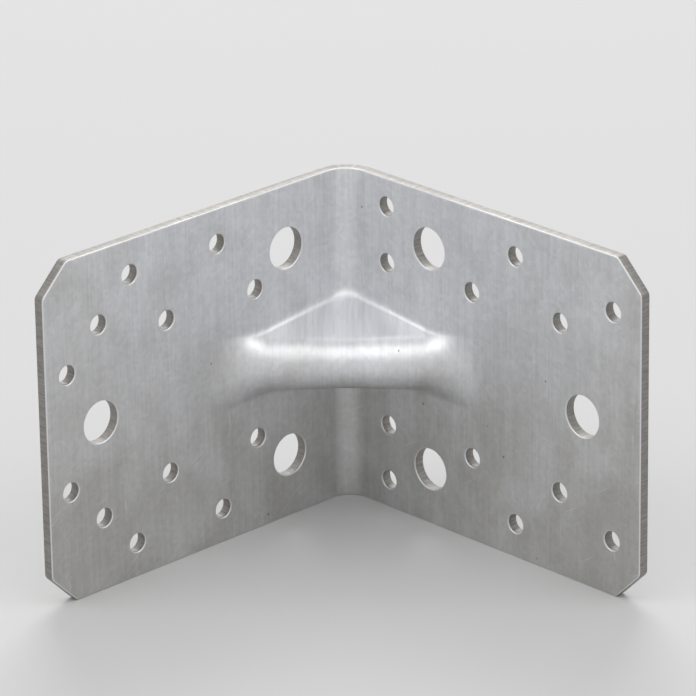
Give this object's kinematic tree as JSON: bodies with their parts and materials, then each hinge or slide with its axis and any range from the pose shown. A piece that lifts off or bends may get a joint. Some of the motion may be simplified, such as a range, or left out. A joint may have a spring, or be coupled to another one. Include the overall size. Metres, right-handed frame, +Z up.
{
  "type": "corner brace bracket",
  "caption": "L-shaped corner brace folded from punched galvanised sheet steel, with a pressed rib across the fold and rows of bolt and nail holes in both legs.",
  "frame": {"origin": "middle of the footprint square, on the ground that the side edges stand on", "axes": "+Z up along the fold; the right leg runs along +X with its outer face on the +Y side; the left leg runs along -Y with its outer face on the -X side"},
  "size_m": [0.105, 0.105, 0.09],
  "materials": {
    "galvanised_steel": "pre-galvanised, satin, with fine rolling lines and light handling scratches"
  },
  "bodies": {
    "root": {"bracket": "galvanised_steel"}
  },
  "joints": []
}
